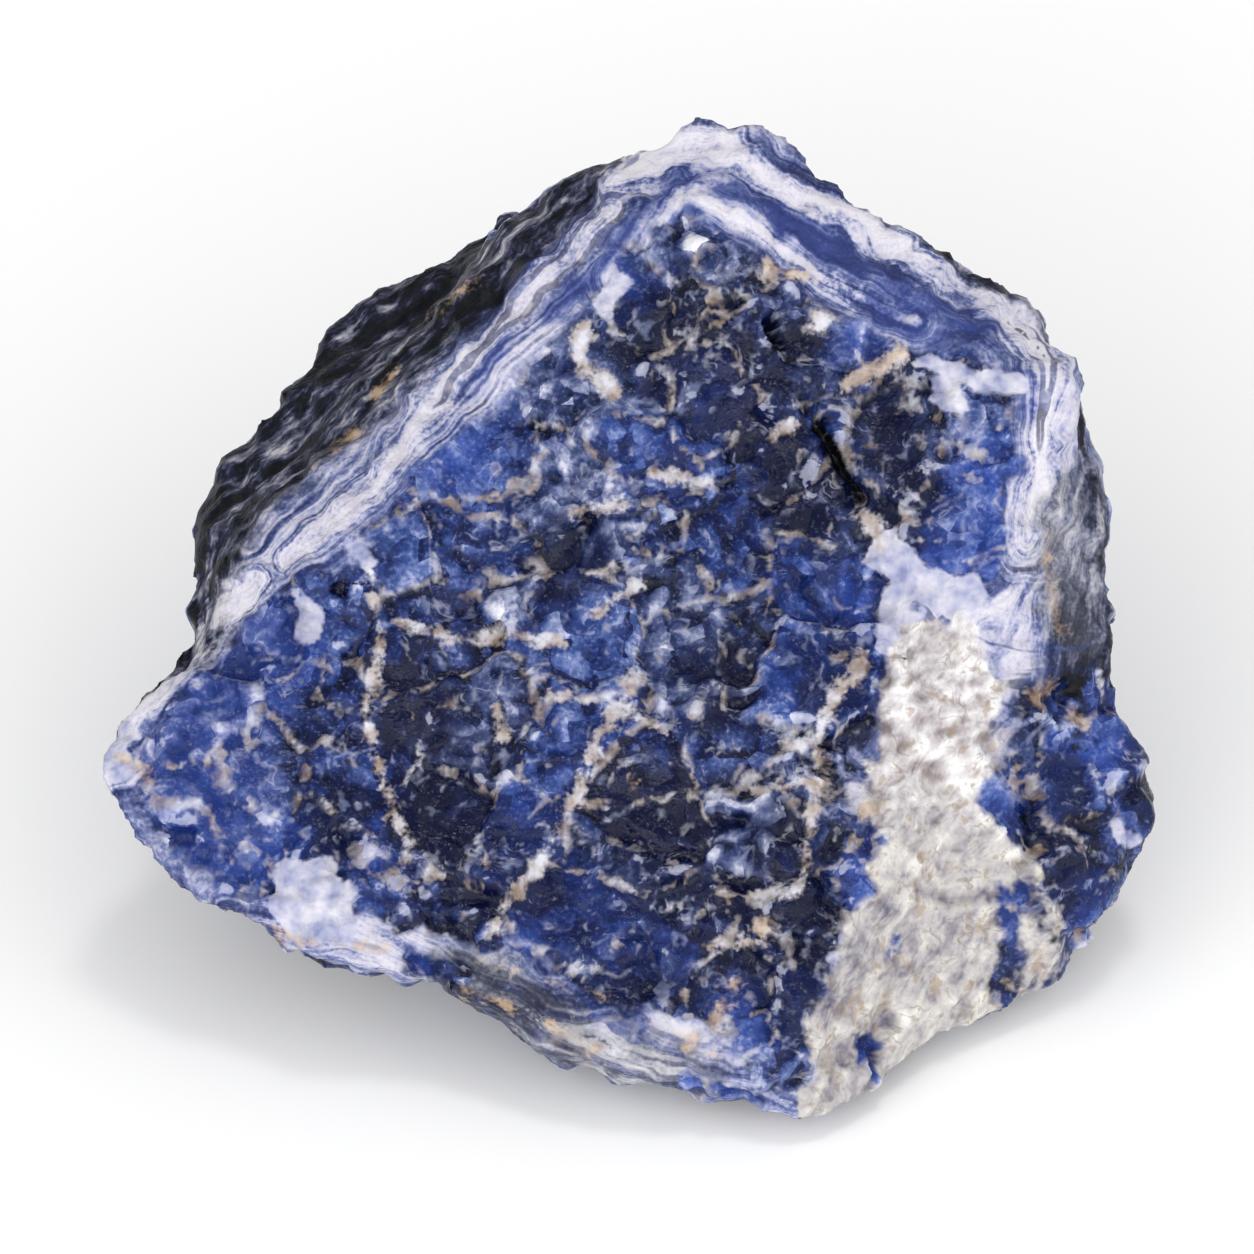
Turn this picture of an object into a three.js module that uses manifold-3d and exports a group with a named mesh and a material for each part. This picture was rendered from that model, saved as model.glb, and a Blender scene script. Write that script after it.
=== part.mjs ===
// A lump of rough sodalite: one broken piece of massive rock that rests on a small flat spot.
// Millimetres, +Z up. The broad fracture face looks towards -Y and up. The origin is the centre of the
// lump's outer box, on the surface that it rests on.
import * as THREE from "three";
import { ConvexGeometry } from "three/addons/geometries/ConvexGeometry.js";
import { TessellateModifier } from "three/addons/modifiers/TessellateModifier.js";
import { mergeVertices } from "three/addons/utils/BufferGeometryUtils.js";
import { ImprovedNoise } from "three/addons/math/ImprovedNoise.js";
import Module from "manifold-3d";

// Driving dimensions of the lump.
const length = 52; // along X
const depth = 45.5; // along Y
const height = 29.5; // along Z
const longestEdge = 1.95; // of a facet
const wearPasses = 1; // rounding of the broken edges
const wearShare = 0.5; // how far a pass moves a vertex to the middle of its neighbours
const groundCut = 0.8; // how much of the underside the flat spot takes off

// Corners where the main fracture faces meet.
const corners = {
  tip: [8.4, -23.6, 0.9],
  tipLip: [7.3, -23.0, 2.3],
  frontLip: [-0.7, -19.6, 3.6],
  frontFoot: [-2.3, -19.5, 1.4],
  lowerLeftLip: [-11.7, -15.8, 6.1],
  lowerLeft: [-17.8, -15.5, 6.3],
  leftShoulderLow: [-23.9, -13.1, 7.7],
  leftPoint: [-27.8, -8.4, 11.0],
  leftShoulderHigh: [-22.0, -4.6, 13.9],
  ridgeLeft: [-13.2, 0.8, 17.7],
  ridgeMiddle: [-8.6, 3.8, 20.0],
  ridgeRight: [-3.3, 8.2, 23.5],
  crest: [2.8, 13.6, 27.6],
  ledgeMiddle: [8.6, 12.1, 26.6],
  ledgeRight: [15.1, 9.0, 24.2],
  rightShoulder: [21.4, 6.3, 22.6],
  bevelLeft: [-20.2, 1.8, 16.0],
  bevelMiddle: [-8.6, 9.0, 21.4],
  bevelRight: [-1.0, 15.0, 25.9],
  peak: [2.7, 19.2, 29.6],
  ledgeBack: [19.4, 12.9, 24.2],
  rightShoulderBack: [22.9, 8.3, 22.3],
  backLeftHigh: [-21.8, 8.8, 14.3],
  backLeft: [-16.0, 17.0, 17.5],
  backMiddle: [-7.2, 20.6, 20.8],
  faceRight: [17.1, -0.5, 16.5],
  faceLowRight: [11.9, -10.6, 9.0],
  faceFoot: [10.2, -20.2, 2.4],
  rightWall: [22.8, 2.5, 12.1],
  rightLobe: [24.9, -7.4, 6.3],
  rightFoot: [21.2, -11.6, 1.6],
  rightFootFront: [17.2, -14.9, 1.0],
  backRightFoot: [19.0, 11.1, 4.0],
  backFoot: [5.1, 22, 5.0],
  backLeftFoot: [-12.9, 16.1, 4.0],
  leftFoot: [-16.8, 5.0, 4.0],
  restFront: [4.1, -17.7, 0],
  restRight: [16.5, -11.2, 0],
  restBackRight: [16.0, 6.0, 0],
  restBack: [4.1, 14.1, 0],
  restBackLeft: [-7.9, 9.0, 0],
  restLeft: [-8.9, -6.1, 0],
};

// Where the surface swells out or is broken away: middle, radius and height of each.
const mounds = {
  rightLobeTop: { at: [25.0, -8.0, 7.5], radius: 4.2, height: 0.6 },
  rightLobeFoot: { at: [24.5, -10.5, 3.2], radius: 3.4, height: 0.8 },
  rightFootBulge: { at: [20.5, -12.5, 2.2], radius: 3.0, height: 0.8 },
  calciteSwell: { at: [19.5, -5.0, 12.0], radius: 5.0, height: 0.6 },
  leftNose: { at: [-24.5, -9.0, 10.5], radius: 3.2, height: 0.6 },
  faceSwell: { at: [2.0, 5.0, 21.0], radius: 9.0, height: 0.5 },
  lipHollow: { at: [-9.0, -16.5, 4.4], radius: 4.0, height: -0.6 },
  faceHollow: { at: [-1.0, -12.5, 8.3], radius: 6.5, height: -0.9 },
  saddle: { at: [15.6, -3.2, 14.5], radius: 4.0, height: -1.4 },
  leftNotch: { at: [-23.4, -1.2, 13.2], radius: 5.5, height: -1.7 },
  ledgeNotch: { at: [17.5, 12.8, 25.0], radius: 4.0, height: -0.6 },
  wallHollow: { at: [22.5, -1.0, 9.0], radius: 5.5, height: -1.2 },
  backScoop: { at: [12.0, 17.5, 13.0], radius: 9.0, height: -2.4 },
  backLeftScoop: { at: [-9.0, 19.5, 10.0], radius: 8.0, height: -1.8 },
  rightBackScoop: { at: [23.0, 6.5, 6.0], radius: 6.0, height: -1.2 },
};

// Ledges: across the line the surface drops over the short ramp and climbs back over the reach.
const ledges = {
  crack: { from: [3.0, 9.0, 24.0], to: [15.0, -2.0, 15.6], drop: 1.0, ramp: 1.3, reach: 7 },
  acrossFace: { from: [-16.0, -5.0, 13.0], to: [2.0, -9.0, 10.5], drop: 0.6, ramp: 1.5, reach: 6 },
  backRight: { from: [19.0, 11.0, 21.0], to: [13.0, 19.0, 5.0], drop: 1.2, ramp: 1.6, reach: 8 },
  backMiddle: { from: [-2.0, 22.0, 21.0], to: [-6.0, 19.0, 4.0], drop: 1.4, ramp: 1.6, reach: 8 },
  backLeft: { from: [-20.0, 9.0, 10.0], to: [-4.0, 20.0, 8.0], drop: 0.9, ramp: 1.6, reach: 7 },
};

// Relief over the whole surface: the size of each pattern and how far it moves the surface. The layers of
// the rock lie along the broad face, so they show as ridges on the faces that cut across them.
const acrossLayers = new THREE.Vector3(-0.03, -0.571, 0.82);
const layers = { size: 2.6, height: 1.1 };
const waves = [
  { size: 15, height: 0.5 },
  { size: 6.5, height: 0.3 },
];
const terraces = { size: 9, levels: 4, height: 1.2 };
const grains = [
  { size: 5.5, height: 0.6 },
  { size: 3.2, height: 0.45 },
];
const grainShareAside = 0.4; // of the grain relief, on the faces that cut across the layers

const perlin = new ImprovedNoise();
const wasm = await Module();
wasm.setup();

// The block between the fracture faces, cut into even facets with shared vertices.
function block() {
  const points = Object.values(corners).map((xyz) => new THREE.Vector3(...xyz));
  const fine = new TessellateModifier(longestEdge, 40).modify(new ConvexGeometry(points));
  fine.deleteAttribute("normal");
  fine.deleteAttribute("uv");
  return mergeVertices(fine, 1e-3);
}

// Each vertex moved towards the middle of its neighbours, which rounds the edges.
function wear(geometry) {
  const { position } = geometry.attributes;
  const { array } = geometry.index;
  const sums = Array.from({ length: position.count }, () => new THREE.Vector3());
  const counts = new Uint16Array(position.count);
  const point = new THREE.Vector3();
  for (let corner = 0; corner < array.length; corner++) {
    const here = array[corner];
    const next = array[corner % 3 === 2 ? corner - 2 : corner + 1];
    sums[here].add(point.fromBufferAttribute(position, next));
    counts[here]++;
  }
  for (let i = 0; i < position.count; i++) {
    const middle = sums[i].divideScalar(counts[i]);
    position.setXYZ(i, ...point.fromBufferAttribute(position, i).lerp(middle, wearShare));
  }
}

// A repeatable number from 0 to 1 for each grid cell.
function chance(i, j, k, channel) {
  let hash = Math.imul(i, 374761393) ^ Math.imul(j, 668265263) ^ Math.imul(k, 1274126177);
  hash = Math.imul(hash ^ Math.imul(channel + 1, 1442695041) ^ (hash >>> 13), 1103515245);
  return ((hash ^ (hash >>> 16)) >>> 0) / 2 ** 32;
}

// Rounded grains: the surface domes round scattered middles and creases where two domes meet.
function grainRelief(p, { size, height }) {
  const grid = p.clone().divideScalar(size);
  const home = grid.clone().floor();
  const middle = new THREE.Vector3();
  let nearest = Infinity;
  for (let i = home.x - 1; i <= home.x + 1; i++) {
    for (let j = home.y - 1; j <= home.y + 1; j++) {
      for (let k = home.z - 1; k <= home.z + 1; k++) {
        middle.set(i + chance(i, j, k, 0), j + chance(i, j, k, 1), k + chance(i, j, k, 2));
        nearest = Math.min(nearest, middle.distanceToSquared(grid));
      }
    }
  }
  return height * (0.5 - nearest);
}

// Ridges along the layers, long beside their width.
function layerRelief(p, { size, height }) {
  const long = 6 * size;
  return height * perlin.noise(p.dot(acrossLayers) / size, p.x / long, p.y / long);
}

function waveRelief(p, { size, height }) {
  return height * perlin.noise(p.x / size, p.y / size, p.z / size);
}

// Flat levels with short risers between them, as rock splits along its layers.
function terraceRelief(p, { size, levels, height }) {
  const swell = (perlin.noise(p.x / size + 7, p.y / size, p.z / size) + 1) * levels;
  const level = Math.floor(swell);
  const riser = THREE.MathUtils.smoothstep(swell - level, 0.55, 1);
  return height * ((level + riser) / levels - 1);
}

// A dome or a dish that fades out at its radius.
function moundRelief(p, { at, radius, height }) {
  const share = p.distanceTo(new THREE.Vector3(...at)) / radius;
  return share < 1 ? height * (1 - share * share) ** 2 : 0;
}

function ledgeRelief(p, normal, { from, to, drop, ramp, reach }) {
  const start = new THREE.Vector3(...from);
  const line = new THREE.Vector3(...to).sub(start);
  const offset = p.clone().sub(start);
  const share = offset.dot(line) / line.lengthSq();
  const aside = offset.dot(line.clone().cross(normal).normalize());
  const lift = Math.abs(offset.dot(normal));
  if (share < 0 || share > 1 || aside < 0 || aside > reach) return 0;
  const fade = Math.max(0, 1 - lift / (reach / 2));
  return -drop * Math.sin(Math.PI * share) * fade * Math.min(aside / ramp, (reach - aside) / (reach - ramp));
}

function reliefAt(p, normal) {
  const along = normal.dot(acrossLayers) ** 2;
  const grainShare = THREE.MathUtils.lerp(grainShareAside, 1, along);
  let sum = terraceRelief(p, terraces) + (1 - along) * layerRelief(p, layers);
  for (const wave of waves) sum += waveRelief(p, wave);
  for (const grain of grains) sum += grainShare * grainRelief(p, grain);
  for (const mound of Object.values(mounds)) sum += moundRelief(p, mound);
  for (const ledge of Object.values(ledges)) sum += ledgeRelief(p, normal, ledge);
  return sum;
}

function roughen(geometry) {
  geometry.computeVertexNormals();
  const { position, normal } = geometry.attributes;
  const p = new THREE.Vector3();
  const n = new THREE.Vector3();
  for (let i = 0; i < position.count; i++) {
    p.fromBufferAttribute(position, i);
    n.fromBufferAttribute(normal, i);
    position.setXYZ(i, ...p.addScaledVector(n, reliefAt(p, n)));
  }
}

function solidOf(geometry) {
  geometry.deleteAttribute("normal");
  geometry.deleteAttribute("uv");
  const merged = mergeVertices(geometry);
  return new wasm.Manifold(
    new wasm.Mesh({
      numProp: 3,
      vertProperties: new Float32Array(merged.attributes.position.array),
      triVerts: new Uint32Array(merged.index.array),
    }),
  );
}

function geometryOf(solid) {
  const mesh = solid.getMesh();
  const geometry = new THREE.BufferGeometry();
  geometry.setAttribute("position", new THREE.BufferAttribute(mesh.vertProperties, 3));
  geometry.setIndex(new THREE.BufferAttribute(mesh.triVerts, 1));
  return geometry;
}

// The underside cut flat, so that the lump rests on one level spot.
function cutFlat(geometry) {
  geometry.computeBoundingBox();
  const floor = geometry.boundingBox.min.z + groundCut;
  const slab = new THREE.BoxGeometry(2 * length, 2 * depth, height).translate(0, 0, floor - height / 2);
  return geometryOf(solidOf(geometry).subtract(solidOf(slab)));
}

// The lump brought to the driving size, with the origin under its middle.
function fit(geometry) {
  geometry.computeBoundingBox();
  const size = geometry.boundingBox.getSize(new THREE.Vector3());
  const centre = geometry.boundingBox.getCenter(new THREE.Vector3());
  geometry.translate(-centre.x, -centre.y, -geometry.boundingBox.min.z);
  geometry.scale(length / size.x, depth / size.y, height / size.z);
  return geometry;
}

function lumpGeometry() {
  const rock = block();
  for (let pass = 0; pass < wearPasses; pass++) wear(rock);
  roughen(rock);
  const geometry = fit(cutFlat(rock));
  geometry.computeVertexNormals();
  return geometry;
}

const sodalite = new THREE.MeshStandardMaterial({ color: 0x2f3f7d, roughness: 0.5, metalness: 0 });
const lump = new THREE.Mesh(lumpGeometry(), sodalite);
lump.name = "sodalite_lump";

const part = new THREE.Group();
part.add(lump);
export default part;
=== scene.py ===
import math
import bpy
import numpy as np
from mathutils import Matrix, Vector, noise


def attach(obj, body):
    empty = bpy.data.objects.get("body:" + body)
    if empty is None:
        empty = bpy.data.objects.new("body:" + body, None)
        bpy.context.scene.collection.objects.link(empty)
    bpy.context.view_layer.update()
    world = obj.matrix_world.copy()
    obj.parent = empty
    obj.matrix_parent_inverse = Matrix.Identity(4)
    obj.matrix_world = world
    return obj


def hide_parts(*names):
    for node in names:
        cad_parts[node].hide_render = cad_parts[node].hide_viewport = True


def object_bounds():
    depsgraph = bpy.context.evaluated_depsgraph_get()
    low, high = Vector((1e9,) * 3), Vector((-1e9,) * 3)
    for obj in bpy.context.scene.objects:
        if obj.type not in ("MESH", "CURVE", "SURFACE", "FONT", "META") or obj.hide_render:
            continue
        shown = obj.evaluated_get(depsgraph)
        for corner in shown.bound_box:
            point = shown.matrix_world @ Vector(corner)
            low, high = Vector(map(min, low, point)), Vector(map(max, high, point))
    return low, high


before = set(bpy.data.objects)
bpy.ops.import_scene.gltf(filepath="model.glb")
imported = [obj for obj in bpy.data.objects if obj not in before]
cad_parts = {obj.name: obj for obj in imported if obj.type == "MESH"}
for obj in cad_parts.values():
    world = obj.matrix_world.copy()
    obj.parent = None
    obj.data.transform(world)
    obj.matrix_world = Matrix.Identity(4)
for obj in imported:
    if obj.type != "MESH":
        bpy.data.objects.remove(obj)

cadLow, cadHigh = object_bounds()
mm = 0.001


def linear(hexColour):
    parts = [int(hexColour[i:i + 2], 16) / 255 for i in (1, 3, 5)]
    return (*[c / 12.92 if c <= 0.04045 else ((c + 0.055) / 1.055) ** 2.4 for c in parts], 1.0)


def addNode(tree, kind, inputs=None, stops=None, **settings):
    # inputs take a number, a hex colour, a socket or a node, whose first live output is used
    node = tree.nodes.new(kind)
    for name, value in settings.items():
        setattr(node, name, value)
    for socket, value in (inputs or {}).items():
        if isinstance(socket, str):
            socket = next(at for at, side in enumerate(node.inputs) if side.name == socket and side.enabled)
        if isinstance(value, bpy.types.Node):
            value = next(out for out in value.outputs if out.enabled)
        if isinstance(value, bpy.types.NodeSocket):
            tree.links.new(value, node.inputs[socket])
        else:
            node.inputs[socket].default_value = linear(value) if str(value).startswith("#") else value
    if stops:
        ramp = node.color_ramp.elements
        ramp[0].position, ramp[1].position = stops[0][0], stops[-1][0]
        for stop in stops[1:-1]:
            ramp.new(stop[0])
        for element, stop in zip(ramp, stops):
            element.color = linear(stop[1])
    return node


def selectOnly(obj):
    bpy.ops.object.select_all(action="DESELECT")
    obj.select_set(True)
    bpy.context.view_layer.objects.active = obj


# the rock's layers lie along the broad face. marks are drawn on that plane, in mm: x to the right
# and t up the slope
acrossLayers = Vector((-0.034, -0.571, 0.82)).normalized()
outOfFace = (0, -0.571, 0.82)
upSlope = Vector((0, 0.82, 0.571)).normalized()
fibreWay = (upSlope * 0.87 + Vector((0.5, 0, 0))).normalized()

broadFace = [
    (2.6, 27.6), (4.5, 26), (6.5, 24.5), (8.5, 23.5), (11.5, 21.5), (14, 20.5), (16.5, 20.5), (18.5, 18.5),
    (18.5, 15), (18, 10.5), (17, 8), (14.5, 9), (12.5, 10.5), (13.5, 8), (13, 5), (11.5, 3), (11.5, 0.5),
    (10.5, -1.5), (12.5, -4), (12, -6), (11, -8), (9.5, -10), (9.5, -13), (8.5, -15), (7.5, -16.2),
    (3, -13.3), (-0.5, -11.7), (-4, -9.9), (-7.5, -9.6), (-12, -8), (-14.5, -7), (-19.5, -7), (-24, -3),
    (-24.2, -1.3), (-23.4, 0.8), (-21.9, 2.8), (-20.9, 4.2), (-19.7, 6), (-18.6, 7.6), (-15, 9), (-13, 11),
    (-11, 13.5), (-8, 16.5), (-5, 19), (-2.5, 21.5), (-0.8, 24), (0.6, 26.5),
]
calciteFace = [
    (15.7, 6.9), (13.8, 6.2), (12.9, 5.1), (11.9, 3.1), (11.7, 0), (11.3, -3), (12.5, -4.6), (11.3, -7),
    (9.7, -10.2), (9.3, -12.2), (8.5, -14.5), (8, -19), (13, -19), (18, -15), (21, -12), (20.8, -9),
    (20, -6.8), (19.2, -5.5), (18.5, -6.1), (18.7, -4.2), (17.5, -2.6), (17.8, 0.2), (17.9, 3), (17.5, 5.4),
    (16.9, 7),
]
# each stroke has its points and its half width. below 0 only the frayed bits of it show
strokes = {
    "inlet": [
        ([(18, -1.4), (18, -2.3)], 0.75), ([(18.6, -6.9), (18.6, -8.9), (18.4, -10.3)], 0.75),
        ([(11.8, -14.1), (11.5, -15.1)], 0.65), ([(12.8, -9), (12.7, -9.5)], 0.25), ([(20.6, -10.4)], 0.5),
    ],
    "lobe": [
        ([(20, 2.5), (21, -2.5), (23.5, 0.5)], 1.8),
        ([(21, -2.5), (24, -3.5), (22.5, -6.5), (20, -5.5)], 1.8), ([(18.6, -8.2), (18.2, -7.4)], 1.4),
        ([(22.2, -7.6), (24.2, -5.6)], 2), ([(23.5, 3), (25.5, 1), (25.8, -2.5)], 1.5),
        ([(15, -12.6)], 0.8), ([(20.5, -10)], 1.4), ([(-10.6, -10.3), (-8.2, -11)], 0.6),
        ([(3.2, -16.3), (6.2, -16.9)], 0.55),
    ],
    "greyRock": [
        ([(-8, -11.4), (-4.5, -13.6), (-1.5, -15.2), (1.5, -16.2), (3, -16.6)], 1.9),
        ([(21.4, 13), (21.6, 9), (22, 6.5)], 1.6),
    ],
    "cream": [
        ([(-0.5, 29.2), (2.4, 31.1), (5.2, 30), (7.4, 28.7), (11.4, 26.7), (15.4, 24.4), (18.6, 22.3),
          (20.6, 20.2)], 0.6),
        ([(-1.4, 27.4), (-5, 23), (-9, 18.9), (-12.9, 13.6), (-16.9, 9.9)], 0.4),
        ([(20.6, 20.2), (20.2, 16), (19.4, 11)], 0.5),
        ([(-18.9, 8.8), (-20.8, 7), (-22.3, 4.5), (-24, 2.4), (-25.6, 0.2)], 0.8),
        ([(0.8, 30), (2.4, 31), (4, 30.3)], 1.3),
        ([(3, 27.9), (5.5, 26.6), (8, 25), (11, 23), (14, 21.8)], 0.2),
        ([(2.4, 28), (0.9, 25.9), (-0.8, 23.8)], 0.2),
        ([(-19.5, -7.6), (-16, -8.6), (-12, -8.8), (-8, -11), (-4, -13.2), (0, -14.8), (4, -16.3),
          (8, -17.5)], -0.5),
    ],
    "blueBand": [
        ([(3, 29.3), (4.4, 28.5), (7.4, 27), (9.4, 25.8), (13.4, 23.4), (17, 21.6)], 0.6),
        ([(2.6, 29.1), (1, 27.1), (-0.6, 25.4), (-2.2, 23.6), (-4, 22)], 0.4),
        ([(12.5, 22.2), (15, 21)], 0.6), ([(-6, 20.5), (-7.5, 19)], 0.3), ([(19.3, 18.6), (19.6, 17)], 0.4),
        ([(1.2, 26.4), (2.6, 27), (4, 26)], 0.5),
    ],
    "white": [
        ([(12.5, 10), (14.5, 8.5), (16.5, 7.5)], 1), ([(13.5, 7.5), (13, 5.5)], 0.9),
        ([(-16.4, -5.7), (-15, -5.6)], 0.8), ([(-16.2, -7), (-15.2, -7.4)], 1.5),
        ([(-16, 7), (-16, 6.5)], 0.55), ([(-13.5, 10.5), (-13, 9.7)], 0.5), ([(16, 17.5), (15.5, 18)], 0.9),
        ([(14.5, 19.5), (16, 19), (19, 18)], 0.5), ([(-25.5, 0), (-25, 1)], 1.2),
        ([(-0.5, 23.5), (-1, 22.5)], 0.5), ([(24, -2.8), (24.5, -3.4)], 0.4),
    ],
    "frost": [
        ([(4, 26), (2.5, 25.5), (1, 24)], 0.8), ([(-5, 19), (-7, 16.5), (-8.5, 13.5)], 1.7),
        ([(-20, 2), (-20.5, 2.5)], 0.9), ([(-17.5, 0.5), (-17, 1)], 0.6), ([(-3.5, -9.5), (-1.5, -10)], 1.4),
        ([(5.5, -14.5), (6, -13.5)], 0.8), ([(2.5, -12), (2, -11.5)], 0.9), ([(15.5, 15), (16, 13)], 0.8),
        ([(18.3, 15.2), (19.3, 13.6)], 0.4), ([(16.5, 12), (18, 13)], 1), ([(24, -3), (23.5, -2)], 0.8),
        ([(-18, -1), (-16, -2.5)], 0.8), ([(-2, 13.5), (-1.5, 11.5)], 0.9), ([(-8.5, -1), (-7, -3)], 0.9),
        ([(8, 17), (7.5, 18.5)], 0.5), ([(4, 2.5), (6, 1.5)], 0.8),
    ],
    "royal": [
        ([(0, 23), (0, 23.5)], 1.1), ([(2.5, 28.5), (5.5, 27), (8.5, 25.5)], 1.2),
        ([(12.5, 22.5), (17.5, 21.5)], 1.3), ([(11, 21)], 1.3),
        ([(17, 13.5), (16.5, 11.5), (15.5, 9)], 1.9), ([(20.5, 18.5)], 0.6),
        ([(-9, 14.5), (-7, 15.5)], 1.3), ([(-18, 5), (-21.5, 1.5), (-19.5, -4)], 3),
        ([(-12.5, -6), (-12, -5)], 1.3), ([(-1.5, -7), (-2, -6)], 1.2), ([(-5, -9), (-5.5, -8.5)], 1.2),
        ([(-0.5, -9), (2, -10)], 1), ([(5.5, -17), (3.5, -16)], 1.1), ([(5, -13), (5.5, -12)], 1.1),
        ([(11, -7), (10.5, -6.5)], 0.9), ([(9.5, 6), (10.5, 7)], 1.3), ([(-10, -10.5)], 0.9),
        ([(18.5, -7.5), (18.5, -6.5)], 1.2), ([(11.5, -14.5)], 0.8), ([(18, -2), (18.5, -1.5)], 0.8),
        ([(22.5, -7)], 1.6), ([(23.5, 1), (24, 0.5)], 1.5), ([(25, -3)], 1),
    ],
    "dusk": [
        ([(1.5, 20.5), (4, 19.5), (6.5, 17), (8, 14)], 2.6), ([(13.5, 18.5), (13, 15), (13.5, 11.5)], 1.9),
        ([(-8, -6), (-3, -6.5), (1, -7.5), (4, -8)], 1.8), ([(7.5, 20.5), (7.5, 21.5)], 0.9),
        ([(-11, 2.5), (-9, -1.5), (-8, -4.5)], 2.4), ([(-14.5, -3.5), (-14, -3)], 1.7),
        ([(-0.5, -2.5), (2.5, -4), (1.5, -5.5)], 2), ([(7.5, -4), (8.5, -5), (7.5, -9.5)], 1.7),
        ([(4.5, 4), (4, 3)], 1.8), ([(21, -2.5), (20.5, -3.5)], 2), ([(20, -5.5)], 1.3), ([(19.5, 2.5)], 1),
        ([(-3.5, 9), (-2, 10)], 1.4), ([(2, -7), (6, -8), (8, -12)], 1.9), ([(-3, -9), (3, -11.5)], 1.6),
        ([(-12, -11), (-9, -11.6)], 0.7), ([(21.5, -1), (22, -5)], 1.6), ([(25, 1), (25.8, -2)], 1),
        ([(9.3, 5), (10.3, 2.6)], 1.7),
    ],
    "vein": [
        ([(-4, 3), (-0.3, 2.7), (1.8, 0.9)], 0.2),
        ([(-11.4, 6.7), (-8.8, 5.7), (-5.6, 6), (-3.5, 5.7)], 0.22),
        ([(0.5, 4.1), (-0.9, 2.1), (-1.9, 0.2), (-2.6, -1.8)], 0.3),
        ([(-2.6, -1.8), (-3.5, -3.9), (-5.8, -6.9), (-7, -8.8)], 0.18),
        ([(-12.8, 9.2), (-12.2, 5.4), (-13, 2.8)], 0.1),
        ([(-13, 2.8), (-12, -1.5), (-10.9, -4.1), (-11.1, -6.8)], 0.1),
        ([(-2.2, 21.3), (-2.5, 19.9), (-1.1, 17.9)], 0.4), ([(-2.7, 12), (-0.3, 12.3)], 0.2),
        ([(-1.4, 7.3), (0.2, 8.6)], 0.25), ([(10.6, 18.6), (13.3, 20.2)], 0.3),
        ([(3.7, -9.4), (6.5, -9.2)], 0.17), ([(9.3, 22), (9.1, 21.4)], 0.3),
        ([(5.7, -7.1), (7.8, -6.8), (8.6, -5.5), (8.9, -1.4), (6.2, -1.7)], 0.17),
        ([(1, 13.8), (3.7, 13.7)], 0.2), ([(6.9, 24), (8.7, 24)], 0.28),
        ([(11.3, 4.7), (10.3, 3.5), (9.2, 1), (7.9, 0.4)], 0.3), ([(9.2, 1), (9.8, -1.7)], 0.25),
        ([(11, 12.6), (11.6, 11.7), (12.3, 10.4)], 0.25), ([(7, 16.1), (8, 16.4)], 0.2),
        ([(-6.4, 2.4), (-6.1, 1.1)], 0.25),
    ],
    "tan": [
        ([(-23.6, -1), (-25, 0.2)], 0.2), ([(-16, -9), (-12, -9.5)], 0.15), ([(-1.5, -14.5)], 0.3),
        ([(2.5, -14.5), (4, -13), (5, -11.5)], 0.1), ([(0, -1.4)], 0.15), ([(12, -2.5), (11.5, -2.5)], 0.35),
        ([(6.5, -8.4)], 0.3), ([(20.5, 4), (19.5, 3)], 0.35), ([(22, 2.5)], 0.3),
        ([(10.6, 18.6), (13.3, 20.2)], 0.2), ([(6.9, 24.2), (8.7, 24)], 0.2),
        ([(-11.7, 20.1), (-12.8, 18.9)], 0.1), ([(-13.7, 17.2), (-15.5, 15)], 0.1),
        ([(-9.6, 22.9), (-7.6, 24.6)], 0.05), ([(-19.5, -7.6), (-16, -9.2)], 0.1),
        ([(-8, -11.6), (-6, -12.3)], 0.1), ([(-4, -13.4), (-2, -14.8)], 0.1),
        ([(-7.5, -10), (-4, -10.8), (0, -12.6), (4.5, -15)], -0.1),
        ([(20.5, 11), (20.7, 8.5), (21, 6.5)], 0.1),
    ],
    "calcite": [([(20.2, -8.4), (20.4, -7.4)], 0.4)],
    "crack": [
        ([(9.4, 16.4), (9.7, 15.5), (10.2, 14.4)], 0.32), ([(10.2, 14.4), (10.7, 13.4), (10.9, 12.9)], 0.22),
        ([(8.3, 18), (9, 16.9), (9.4, 16.4)], 0.1), ([(6.8, 21.5), (7.3, 20.5), (7.8, 19.6)], 0.18),
    ],
}

stone = {
    "node": "sodalite_lump",
    "voxel": 0.277,  # mm: this keeps the stone under 200,000 triangles
    "swell": 7.0, "swellHeight": 0.7,  # mm: the size of a form and how far it stands out
    "patch": 4.8, "patchLean": 0.25, "patchStep": 0.35,  # broken faces: how they lean and step up or down
    "lump": 2.4, "lumpLean": 0.6, "lumpHeight": 0.65,
    "grain": 1.25, "grainLean": 0.7,  # single crystals
    "curl": 1.6, "curlHeight": 0.6,
    "layer": 0.8, "layerHeight": 0.45,
    "fibre": 0.5, "fibreHeight": 0.24, "fibreStretch": 0.78,
    "rib": 1.2, "ribHeight": 0.09, "ribDown": 6.6, "ribSideways": -2.6, "ribBend": 12,
    "mottle": 5.0,  # mm: size of the darker and brighter patches
    "bendScale": 0.45, "bend": 1.9,  # how far the edges of all these are bent, in mm
    "sink": 0.05,  # mm: all of it lies a little below the solid's skin
    "crackDepth": 1.3,
}
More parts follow.
